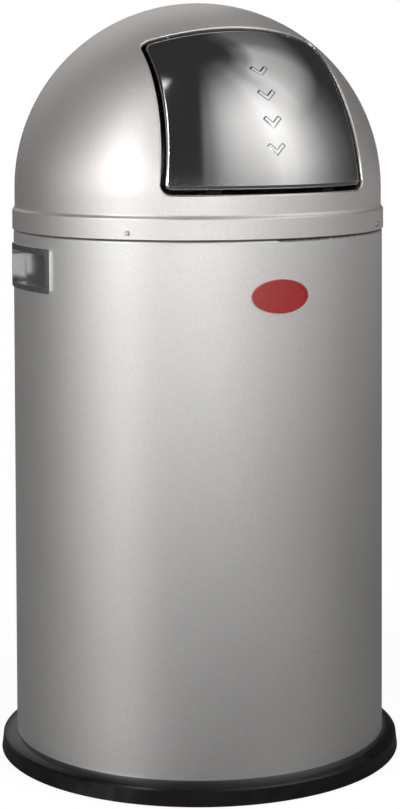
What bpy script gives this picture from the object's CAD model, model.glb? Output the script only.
from math import cos, pi, radians, sin, tan

import bmesh
import bpy
from mathutils import Matrix, Vector


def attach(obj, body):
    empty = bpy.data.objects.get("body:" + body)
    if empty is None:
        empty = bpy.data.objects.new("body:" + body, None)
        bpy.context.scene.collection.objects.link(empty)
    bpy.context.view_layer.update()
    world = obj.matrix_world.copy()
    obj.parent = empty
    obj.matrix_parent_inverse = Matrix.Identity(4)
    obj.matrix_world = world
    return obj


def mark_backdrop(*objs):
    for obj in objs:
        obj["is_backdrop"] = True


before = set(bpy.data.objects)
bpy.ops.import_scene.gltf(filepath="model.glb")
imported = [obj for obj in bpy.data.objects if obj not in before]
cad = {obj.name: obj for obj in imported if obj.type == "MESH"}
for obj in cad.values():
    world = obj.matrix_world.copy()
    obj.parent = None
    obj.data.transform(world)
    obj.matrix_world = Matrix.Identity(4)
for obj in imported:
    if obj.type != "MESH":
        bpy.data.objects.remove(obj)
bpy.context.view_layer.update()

# Metres, +Z up, the bin's front towards -Y.
DOME_CENTRE = 0.5674
FLAP_RADIUS = 0.1839
OPENING_HALF_WIDTH = 0.1068  # at the sill
OPENING_SIDE_LEAN = radians(5.4)
OPENING_SILL = 0.0012  # over the dome's centre
OPENING_TOP_TILT = radians(31.5)
OPENING_TOP_REACH = 0.0851  # from the dome's centre to the plane that the top edge lies in
OPENING_CORNER = 0.01
RIM_WIDTH = 0.001
RIM_GLOSS = 0.24  # taken off the paint's roughness
RECESS_BACK_RADIUS = 0.175  # the handles' back wall lies inside it
RECESS_BACK_FADE = 0.0012


# ---- Finishes ----

def new_finish(name, **settings):
    """Material with one Principled shader, whose even values are set on its own sockets."""
    finish = bpy.data.materials.new(name)
    finish.use_nodes = True
    shader = finish.node_tree.nodes["Principled BSDF"]
    for socket, value in settings.items():
        shader.inputs[socket.replace("_", " ")].default_value = value
    return finish, shader


def join(owner, source, target):
    """Link in the node tree of its owner, a finish or the world."""
    owner.node_tree.links.new(source, target)


def maths(owner, kind, a, b=None):
    """Math node fed with numbers or with other nodes' outputs."""
    node = owner.node_tree.nodes.new("ShaderNodeMath")
    node.operation = kind
    for socket, value in zip(node.inputs, (a, b)):
        if isinstance(value, (int, float)):
            socket.default_value = value
        elif value is not None:
            join(owner, value, socket)
    return node.outputs["Value"]


def spread(owner, source, low, high, dark=0.3, light=0.7):
    """Values from dark to light drawn out between low and high."""
    ranged = owner.node_tree.nodes.new("ShaderNodeMapRange")
    ranged.inputs["From Min"].default_value = dark
    ranged.inputs["From Max"].default_value = light
    ranged.inputs["To Min"].default_value = low
    ranged.inputs["To Max"].default_value = high
    join(owner, source, ranged.inputs["Value"])
    return ranged.outputs["Result"]


def shades(owner, source, *stops):
    """Colours along values from 0 to 1: stops are (place, colour)."""
    ramp = owner.node_tree.nodes.new("ShaderNodeValToRGB")
    points = ramp.color_ramp.elements
    while len(points) < len(stops):
        points.new(0.5)
    for point, (place, colour) in zip(points, stops):
        point.position = place
        point.color = (*colour, 1)
    join(owner, source, ramp.inputs["Fac"])
    return ramp.outputs["Color"]


def place_on_piece(finish, stretch=(1, 1, 1)):
    """Object coordinates, stretched along an axis where the pattern has a direction."""
    nodes = finish.node_tree.nodes
    where = nodes.new("ShaderNodeTexCoord")
    mapping = nodes.new("ShaderNodeMapping")
    mapping.inputs["Scale"].default_value = stretch
    join(finish, where.outputs["Object"], mapping.inputs["Vector"])
    return mapping.outputs["Vector"]


def grain(finish, where, scale, detail):
    """Noise over the piece, 0 to 1."""
    noise = finish.node_tree.nodes.new("ShaderNodeTexNoise")
    noise.inputs["Scale"].default_value = scale
    noise.inputs["Detail"].default_value = detail
    join(finish, where, noise.inputs["Vector"])
    return noise.outputs["Fac"]


def relief(finish, shader, source, depth):
    """Bump of a given depth in metres."""
    bump = finish.node_tree.nodes.new("ShaderNodeBump")
    bump.inputs["Distance"].default_value = depth
    join(finish, source, bump.inputs["Height"])
    join(finish, bump.outputs["Normal"], shader.inputs["Normal"])


def silver_paint(name, warmth=0.0):
    """Satin metallic stove enamel: fine aluminium flake under a slightly wavy skin."""
    finish, shader = new_finish(name, Metallic=0.8, Roughness=0.5)
    where = place_on_piece(finish)
    colour = shades(
        finish,
        grain(finish, where, 1500, 1.0),
        (0.3, (0.8, 0.795 - warmth, 0.79 - 1.3 * warmth)),
        (0.5, (0.89, 0.885 - warmth, 0.88 - 1.3 * warmth)),
        (0.7, (0.97, 0.965 - warmth, 0.96 - 1.3 * warmth)),
    )
    join(finish, colour, shader.inputs["Base Color"])
    gloss = spread(finish, grain(finish, where, 9, 3.0), 0.43, 0.48)
    join(finish, gloss, shader.inputs["Roughness"])
    relief(finish, shader, grain(finish, where, 420, 2.0), 0.00003)
    return finish, shader, where, gloss


def silver_lid_paint():
    """The same enamel, drawn thin and smooth over the turned edge of the throw-in opening."""
    finish, shader, where, gloss = silver_paint("silver_lid_paint", 0.02)

    def no_less_than_zero(value):
        return maths(finish, "MAXIMUM", value, 0)

    axes = finish.node_tree.nodes.new("ShaderNodeSeparateXYZ")
    join(finish, where, axes.inputs["Vector"])
    x, y, z = (axes.outputs[axis] for axis in "XYZ")
    up = maths(finish, "SUBTRACT", z, DOME_CENTRE)
    lean = maths(finish, "MULTIPLY", up, tan(OPENING_SIDE_LEAN))
    side = maths(finish, "ADD", maths(finish, "ABSOLUTE", x), lean)
    past_side = maths(finish, "SUBTRACT", side, OPENING_HALF_WIDTH)
    past_sill = maths(finish, "SUBTRACT", OPENING_SILL, up)
    back = maths(finish, "MULTIPLY", y, sin(OPENING_TOP_TILT))
    reach = maths(finish, "ADD", back, maths(finish, "MULTIPLY", up, cos(OPENING_TOP_TILT)))
    past_top = maths(finish, "SUBTRACT", reach, OPENING_TOP_REACH)
    past_end = maths(finish, "MAXIMUM", past_sill, past_top)
    across = no_less_than_zero(maths(finish, "ADD", past_side, OPENING_CORNER))
    upright = no_less_than_zero(maths(finish, "ADD", past_end, OPENING_CORNER))
    squares = (maths(finish, "MULTIPLY", leg, leg) for leg in (across, upright))
    from_corner = maths(finish, "SQRT", maths(finish, "ADD", *squares))
    past_edge = maths(finish, "SUBTRACT", from_corner, OPENING_CORNER)
    on_rim = spread(finish, past_edge, 1, 0, RIM_WIDTH, 2 * RIM_WIDTH)
    in_front = spread(finish, y, 1, 0, -0.06, -0.03)
    smoother = maths(finish, "MULTIPLY", maths(finish, "MULTIPLY", on_rim, in_front), RIM_GLOSS)
    join(finish, maths(finish, "SUBTRACT", gloss, smoother), shader.inputs["Roughness"])
    return finish


def polished_flap_steel():
    """Stainless sheet, polished upwards, with the finest of wipe lines."""
    finish, shader = new_finish("polished_flap_steel", Metallic=1.0, Roughness=0.08)
    line = grain(finish, place_on_piece(finish, (1, 1, 0.02)), 2600, 2.0)
    colour = shades(finish, line, (0.3, (0.74, 0.74, 0.745)), (0.7, (0.8, 0.8, 0.8)))
    join(finish, colour, shader.inputs["Base Color"])
    join(finish, spread(finish, line, 0.06, 0.11), shader.inputs["Roughness"])
    return finish


def bright_handle_steel():
    """Cast shell: bright frame and lips, with the cup's back wall left as it was blasted."""
    finish, shader = new_finish("bright_handle_steel", Metallic=1.0, Roughness=0.2)
    nodes = finish.node_tree.nodes
    radius = nodes.new("ShaderNodeVectorMath")
    radius.operation = "LENGTH"
    join(finish, place_on_piece(finish, (1, 1, 0)), radius.inputs[0])
    full = RECESS_BACK_RADIUS - RECESS_BACK_FADE
    deep = spread(finish, radius.outputs["Value"], 1, 0, full, RECESS_BACK_RADIUS)
    line = grain(finish, place_on_piece(finish, (1, 0.03, 1)), 1800, 2.0)
    bright = shades(finish, line, (0.3, (0.74, 0.74, 0.74)), (0.7, (0.84, 0.84, 0.835)))
    pitted = grain(finish, place_on_piece(finish), 900, 2.0)
    blasted = shades(finish, pitted, (0.3, (0.3, 0.3, 0.3)), (0.7, (0.38, 0.38, 0.38)))
    colour = nodes.new("ShaderNodeMixRGB")
    join(finish, deep, colour.inputs["Fac"])
    join(finish, bright, colour.inputs["Color1"])
    join(finish, blasted, colour.inputs["Color2"])
    join(finish, colour.outputs["Color"], shader.inputs["Base Color"])
    rougher = maths(finish, "MULTIPLY", deep, 0.25)
    gloss = maths(finish, "ADD", rougher, spread(finish, line, 0.18, 0.28))
    join(finish, gloss, shader.inputs["Roughness"])
    return finish


def glossy_black_ring():
    """Floor ring's plastic, with the small waves of a large moulding."""
    finish, shader = new_finish("glossy_black_ring", Roughness=0.22, IOR=1.5)
    where = place_on_piece(finish)
    tone = grain(finish, where, 60, 3.0)
    colour = shades(finish, tone, (0.3, (0.008, 0.008, 0.008)), (0.7, (0.014, 0.014, 0.014)))
    join(finish, colour, shader.inputs["Base Color"])
    join(finish, spread(finish, tone, 0.18, 0.28), shader.inputs["Roughness"])
    relief(finish, shader, grain(finish, where, 300, 2.0), 0.00003)
    return finish


def plain_black_moulding():
    """Plastic of the smaller mouldings, as it leaves a spark-eroded mould."""
    finish, shader = new_finish("plain_black_moulding", Roughness=0.5, IOR=1.5)
    tone = grain(finish, place_on_piece(finish), 900, 2.0)
    colour = shades(finish, tone, (0.3, (0.05, 0.05, 0.05)), (0.7, (0.08, 0.08, 0.08)))
    join(finish, colour, shader.inputs["Base Color"])
    relief(finish, shader, tone, 0.00006)
    return finish


def zinc_plating():
    """Dull bright zinc, unevenly passivated."""
    finish, shader = new_finish("zinc_plating", Metallic=1.0, Roughness=0.34)
    tone = grain(finish, place_on_piece(finish), 260, 4.0)
    greys = ((0.3, (0.5, 0.5, 0.49)), (0.55, (0.6, 0.6, 0.6)), (0.75, (0.66, 0.66, 0.68)))
    colour = shades(finish, tone, *greys)
    join(finish, colour, shader.inputs["Base Color"])
    join(finish, spread(finish, tone, 0.28, 0.44), shader.inputs["Roughness"])
    return finish


def dip_coated_steel():
    """Pressed steel under a thin black coat."""
    finish, shader = new_finish("dip_coated_steel", Roughness=0.8, IOR=1.3)
    tone = grain(finish, place_on_piece(finish), 700, 3.0)
    colour = shades(finish, tone, (0.3, (0.006, 0.006, 0.006)), (0.7, (0.012, 0.012, 0.012)))
    join(finish, colour, shader.inputs["Base Color"])
    join(finish, spread(finish, tone, 0.75, 0.88), shader.inputs["Roughness"])
    relief(finish, shader, tone, 0.00004)
    return finish


def drawn_spring_wire():
    """Dark drawn wire with its lines along the axle."""
    finish, shader = new_finish("drawn_spring_wire", Metallic=1.0, Roughness=0.3)
    line = grain(finish, place_on_piece(finish, (0.1, 1, 1)), 3000, 2.0)
    colour = shades(finish, line, (0.3, (0.38, 0.38, 0.39)), (0.7, (0.55, 0.55, 0.56)))
    join(finish, colour, shader.inputs["Base Color"])
    join(finish, spread(finish, line, 0.24, 0.38), shader.inputs["Roughness"])
    return finish


def galvanised_sheet():
    """Hot-dip zinc: spangles of a centimetre or so, each with its own grey and gloss."""
    finish, shader = new_finish("galvanised_sheet", Metallic=0.9, Roughness=0.45)
    nodes = finish.node_tree.nodes
    where = place_on_piece(finish)
    cells = nodes.new("ShaderNodeTexVoronoi")
    cells.inputs["Scale"].default_value = 110
    join(finish, where, cells.inputs["Vector"])
    split = nodes.new("ShaderNodeSeparateColor")
    join(finish, cells.outputs["Color"], split.inputs["Color"])
    greys = ((0.0, (0.4, 0.41, 0.42)), (0.5, (0.5, 0.51, 0.52)), (1.0, (0.62, 0.63, 0.64)))
    join(finish, shades(finish, split.outputs["Red"], *greys), shader.inputs["Base Color"])
    join(finish, spread(finish, split.outputs["Green"], 0.36, 0.56, 0, 1), shader.inputs["Roughness"])
    relief(finish, shader, grain(finish, where, 500, 2.0), 0.00003)
    return finish


def red_enamel():
    """Badge's enamel under clear lacquer."""
    lacquer = {"Coat_Weight": 0.6, "Coat_Roughness": 0.12}
    finish, shader = new_finish("red_enamel", Roughness=0.3, IOR=1.5, **lacquer)
    tone = grain(finish, place_on_piece(finish), 420, 3.0)
    colour = shades(finish, tone, (0.3, (0.5, 0.022, 0.024)), (0.7, (0.6, 0.035, 0.036)))
    join(finish, colour, shader.inputs["Base Color"])
    relief(finish, shader, tone, 0.00003)
    return finish


def soft_rubber():
    """Matt rubber of the flap's stops."""
    finish, shader = new_finish("soft_rubber", Roughness=0.75, IOR=1.45)
    tone = grain(finish, place_on_piece(finish), 1200, 2.0)
    colour = shades(finish, tone, (0.3, (0.02, 0.02, 0.02)), (0.7, (0.045, 0.045, 0.045)))
    join(finish, colour, shader.inputs["Base Color"])
    relief(finish, shader, tone, 0.00008)
    return finish


PAINT = silver_paint("silver_body_paint")[0]
LID_PAINT = silver_lid_paint()
FLAP_STEEL = polished_flap_steel()
HANDLE_STEEL = bright_handle_steel()
RING_BLACK = glossy_black_ring()
MOULDING = plain_black_moulding()
ZINC = zinc_plating()
DIPPED = dip_coated_steel()
SPRING = drawn_spring_wire()
GALVANISED = galvanised_sheet()
ENAMEL = red_enamel()
RUBBER = soft_rubber()

FINISH_OF = {
    "body_shell": PAINT,
    "dome_cover": LID_PAINT,
    "push_flap": FLAP_STEEL,
    "base_ring": RING_BLACK,
    "locating_ring": MOULDING,
    "handle_right": HANDLE_STEEL,
    "handle_left": HANDLE_STEEL,
    "handle_strap_right": ZINC,
    "handle_strap_left": ZINC,
    "handle_screws": ZINC,
    "badge": ENAMEL,
    "badge_clips": ZINC,
    "base_plate": ZINC,
    "collar_screws": ZINC,
    "collar_nuts": ZINC,
    "hinge_bracket_right": ZINC,
    "hinge_bracket_left": ZINC,
    "hinge_pin": ZINC,
    "pin_clips": SPRING,
    "torsion_spring_right": SPRING,
    "torsion_spring_left": SPRING,
    "flap_buffers": RUBBER,
    "flap_ears": ZINC,
    "flap_stop_tabs": DIPPED,
    "liner_wall": GALVANISED,
    "liner_bottom": GALVANISED,
    "liner_ears": ZINC,
    "liner_rivets": ZINC,
    "bail": ZINC,
    "bail_grip": MOULDING,
}
for name, finish in FINISH_OF.items():
    for slot in cad[name].material_slots:
        slot.material = finish


# ---- Modelling by hand ----

def deselect():
    bpy.ops.object.select_all(action="DESELECT")


def edit(piece):
    """Edit mode with nothing selected."""
    deselect()
    bpy.context.view_layer.objects.active = piece
    piece.select_set(True)
    bpy.ops.object.mode_set(mode="EDIT")
    bpy.ops.mesh.select_all(action="DESELECT")


def pick_faces(piece, chosen):
    """Selects the faces whose middle passes a test."""
    bpy.ops.mesh.select_all(action="DESELECT")
    bpy.ops.mesh.select_mode(type="FACE")
    mesh = bmesh.from_edit_mesh(piece.data)
    for face in mesh.faces:
        if chosen(sum((corner.co for corner in face.verts), Vector()) / len(face.verts)):
            face.select_set(True)
    mesh.select_flush_mode()
    bmesh.update_edit_mesh(piece.data)


def done():
    bpy.ops.object.mode_set(mode="OBJECT")


def apply_modifier(piece, kind, **settings):
    modifier = piece.modifiers.new(kind.lower(), kind)
    for name, value in settings.items():
        setattr(modifier, name, value)
    bpy.context.view_layer.objects.active = piece
    bpy.ops.object.modifier_apply(modifier=modifier.name)


def settle(piece, name, body, finish):
    """Leaves the piece at the origin with its place in its mesh, and gives it its body and finish."""
    deselect()
    bpy.context.view_layer.objects.active = piece
    piece.select_set(True)
    bpy.ops.object.transform_apply(location=True, rotation=True, scale=True)
    bpy.ops.object.shade_smooth()
    piece.name = name
    piece.data.materials.clear()
    piece.data.materials.append(finish)
    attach(piece, body)
    return piece


# ---- Flap ----

STROKE = 0.0045  # width of a pressed arrow's stroke
STROKE_CELL = STROKE / 4
ARM_CELLS = 12
ARROW_SLOPE = 0.0009  # width of the slope round the flat top
ARROW_RISE = 0.00055
ARROW_FOOT = 0.00006  # how far the outer edge goes under the flap's skin
ARROW_ELEVATIONS = (39.9, 31.3, 22.7, 14.4)  # degrees over the dome's centre


def pressed_arrow(number, elevation):
    """Arrow pressed outwards in the flap: two flat strokes at right angles that meet at the bottom."""
    cells = ARM_CELLS + 2
    half = cells * STROKE_CELL / 2
    deselect()
    bpy.ops.mesh.primitive_grid_add(x_subdivisions=cells, y_subdivisions=cells, size=2 * half)
    piece = bpy.context.object

    def in_strokes(middle, margin=0.0):
        near = STROKE_CELL - half - margin
        far = near + 2 * margin + ARM_CELLS * STROKE_CELL
        side = near + 2 * margin + STROKE
        in_square = near < middle.x < far and near < middle.y < far
        return in_square and (middle.x < side or middle.y < side)

    edit(piece)
    pick_faces(piece, lambda middle: not in_strokes(middle, STROKE_CELL))
    bpy.ops.mesh.delete(type="FACE")
    pick_faces(piece, in_strokes)
    piece.vertex_groups.new(name="strokes")
    bpy.ops.object.vertex_group_assign()
    bpy.ops.mesh.select_all(action="SELECT")
    bpy.ops.transform.translate(value=(0, 0, FLAP_RADIUS))
    done()
    piece.rotation_euler = (0, 0, pi / 4)
    bpy.ops.object.transform_apply(location=False, rotation=True)
    piece.rotation_euler = (pi / 2 - radians(elevation), 0, 0)
    piece.location = (0, 0, DOME_CENTRE)
    bpy.ops.object.transform_apply(location=False, rotation=True)
    sphere = {"cast_type": "SPHERE", "use_radius_as_size": False, "size": FLAP_RADIUS}
    apply_modifier(piece, "CAST", factor=1.0, **sphere)
    edit(piece)
    bpy.ops.mesh.select_mode(type="VERT")
    bpy.ops.object.vertex_group_select()
    bpy.ops.mesh.select_mode(type="FACE")
    bpy.ops.mesh.inset(thickness=ARROW_SLOPE, depth=ARROW_RISE)
    bpy.ops.mesh.select_mode(type="EDGE")
    bpy.ops.mesh.select_all(action="DESELECT")
    bpy.ops.mesh.select_non_manifold()
    bpy.ops.mesh.select_mode(type="VERT")
    bpy.ops.transform.shrink_fatten(value=-ARROW_FOOT)
    done()
    piece.vertex_groups.clear()
    apply_modifier(piece, "SUBSURF", levels=2, render_levels=2)
    return settle(piece, f"pressed_arrow_{number}", "flap", FLAP_STEEL)


for number, elevation in enumerate(ARROW_ELEVATIONS, 1):
    pressed_arrow(number, elevation)


# ---- Floor, light and camera ----

FLOOR_WIDTH = 12
FLOOR_GAP = 0.0002  # between the floor and the bin's foot

ROOM_LIGHT = 0.035
# Each soft box: its strength, then its shares by azimuth (degrees from the front, to the right)
# and by elevation.
LOW_BAND = (
    8.8,
    [
        (-135, 0), (-120, 0.04), (-75, 0.03), (-62, 0.24), (-54, 0.58), (-46, 0.82), (-37, 0.96),
        (-25, 0.96), (-13, 0.88), (0, 0.56), (15, 0.28), (32, 0.165), (57, 0.13), (80, 0.05),
        (110, 0.06), (150, 0),
    ],
    [(-40, 0), (-20, 1), (-1, 1), (1, 0)],
)
LEFT_LOW_BOX = (
    4.8,
    [(-125, 0), (-110, 0.2), (-90, 0.7), (-70, 1), (-63, 1), (-57, 0)],
    [(-1, 0), (1, 1), (6, 1), (9, 0)],
)
LEFT_HIGH_BOX = (
    6.2,
    [(-90, 0), (-77, 0.4), (-70, 1), (-66, 1), (-61, 0)],
    [(4, 0), (8, 1), (20, 1), (27, 0.62), (45, 0.45), (60, 0.38), (70, 0)],
)
FLAP_BOX = (
    1.3,
    [
        (-22, 0), (-19.5, 0.12), (-15, 0.16), (-5, 0.43), (5, 0.6), (20, 0.78), (30, 1), (40, 0.92),
        (46, 0.74), (57, 0.45), (70, 0.2), (80, 0.1), (92, 0.03), (105, 0),
    ],
    [
        (-2, 0), (1, 0.5), (6, 0.62), (12, 0.75), (22, 0.88), (32, 1), (42, 1), (50, 0.86), (60, 0.56),
        (66, 0.33), (75, 0.1), (84, 0),
    ],
)
RIGHT_HIGH_BOX = (
    0.55,
    [(45, 0), (62, 1), (80, 0.9), (100, 0.9), (115, 0.3), (135, 0.2), (150, 0)],
    [(34, 0), (44, 0.6), (50, 0.8), (64, 1), (68, 0.4), (76, 0)],
)
BACK_BOX = (
    0.6,
    [(-180, 0.9), (-162, 0.5), (-145, 0), (143, 0), (152, 1), (180, 0.9)],
    [(-5, 0), (5, 0.2), (22, 1), (46, 1), (58, 0)],
)
SOFT_BOXES = (LOW_BAND, LEFT_LOW_BOX, LEFT_HIGH_BOX, FLAP_BOX, RIGHT_HIGH_BOX, BACK_BOX)

CAMERA_PLACE = (-0.8734, -1.9166, 0.6753)
CAMERA_TURN = radians(-24.5)
CAMERA_DIP = 0.0443
CAMERA_ROLL = -0.0038


def show_to_the_eye(owner, shown, real, output):
    """The camera sees one shader, and the light is worked out with the other."""
    nodes = owner.node_tree.nodes
    eye = nodes.new("ShaderNodeLightPath")
    seen = nodes.new("ShaderNodeMixShader")
    join(owner, eye.outputs["Is Camera Ray"], seen.inputs["Fac"])
    join(owner, real, seen.inputs[1])
    join(owner, shown, seen.inputs[2])
    join(owner, seen.outputs["Shader"], output.inputs["Surface"])


def white_floor():
    """Pale floor that is nearly white to the eye, and throws back only a little light."""
    deselect()
    bpy.ops.mesh.primitive_plane_add(size=FLOOR_WIDTH, location=(0, 0, -FLOOR_GAP))
    floor = bpy.context.object
    floor.name = "floor"
    finish, shader = new_finish(
        "white_floor", Base_Color=(0.2, 0.2, 0.2, 1), Roughness=1.0, Specular_IOR_Level=0.0
    )
    nodes = finish.node_tree.nodes
    pale = nodes.new("ShaderNodeEmission")
    pale.inputs["Strength"].default_value = 0.92
    both = nodes.new("ShaderNodeAddShader")
    join(finish, shader.outputs["BSDF"], both.inputs[0])
    join(finish, pale.outputs["Emission"], both.inputs[1])
    show_to_the_eye(finish, both.outputs["Shader"], shader.outputs["BSDF"], nodes["Material Output"])
    floor.data.materials.append(finish)
    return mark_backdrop(floor)


def studio_light():
    """Soft light from all round, from the room and the soft boxes."""
    world = bpy.data.worlds.new("studio")
    world.use_nodes = True
    bpy.context.scene.world = world
    nodes = world.node_tree.nodes
    nodes.clear()
    way = nodes.new("ShaderNodeTexCoord")
    axes = nodes.new("ShaderNodeSeparateXYZ")
    join(world, way.outputs["Generated"], axes.inputs["Vector"])
    front = maths(world, "MULTIPLY", axes.outputs["Y"], -1)
    azimuth = maths(world, "MULTIPLY", maths(world, "ARCTAN2", axes.outputs["X"], front), 180 / pi)
    elevation = maths(world, "MULTIPLY", maths(world, "ARCSINE", axes.outputs["Z"]), 180 / pi)

    def shares(turn, limit, stops):
        """Share of a light along an angle, straight between its (degrees, share) stops."""
        along = spread(world, turn, 0, 1, -limit, limit)
        places = [((angle + limit) / (2 * limit), (share, share, share)) for angle, share in stops]
        return shades(world, along, *places)

    total = ROOM_LIGHT
    for strength, across, upright in SOFT_BOXES:
        share = maths(world, "MULTIPLY", shares(azimuth, 180, across), shares(elevation, 90, upright))
        total = maths(world, "ADD", maths(world, "MULTIPLY", share, strength), total)

    room = nodes.new("ShaderNodeBackground")
    room.inputs["Color"].default_value = (1, 0.985, 0.97, 1)
    join(world, total, room.inputs["Strength"])
    white = nodes.new("ShaderNodeBackground")
    white.inputs["Color"].default_value = (1, 1, 1, 1)
    output = nodes.new("ShaderNodeOutputWorld")
    show_to_the_eye(world, white.outputs["Background"], room.outputs["Background"], output)


def photo_camera():
    bpy.ops.object.camera_add()
    camera = bpy.context.object
    camera.name = "photo_camera"
    camera.data.lens = 92.64
    camera.data.sensor_width = 36
    camera.data.shift_x = 0.003
    camera.data.shift_y = -0.2874
    camera.data.clip_end = 50
    level = Matrix.Rotation(CAMERA_TURN, 4, "Z") @ Matrix.Rotation(pi / 2 - CAMERA_DIP, 4, "X")
    aim = level @ Matrix.Rotation(CAMERA_ROLL, 4, "Z")
    camera.matrix_world = Matrix.Translation(CAMERA_PLACE) @ aim
    bpy.context.scene.camera = camera


white_floor()
studio_light()
photo_camera()
bpy.context.scene.view_settings.view_transform = "Standard"
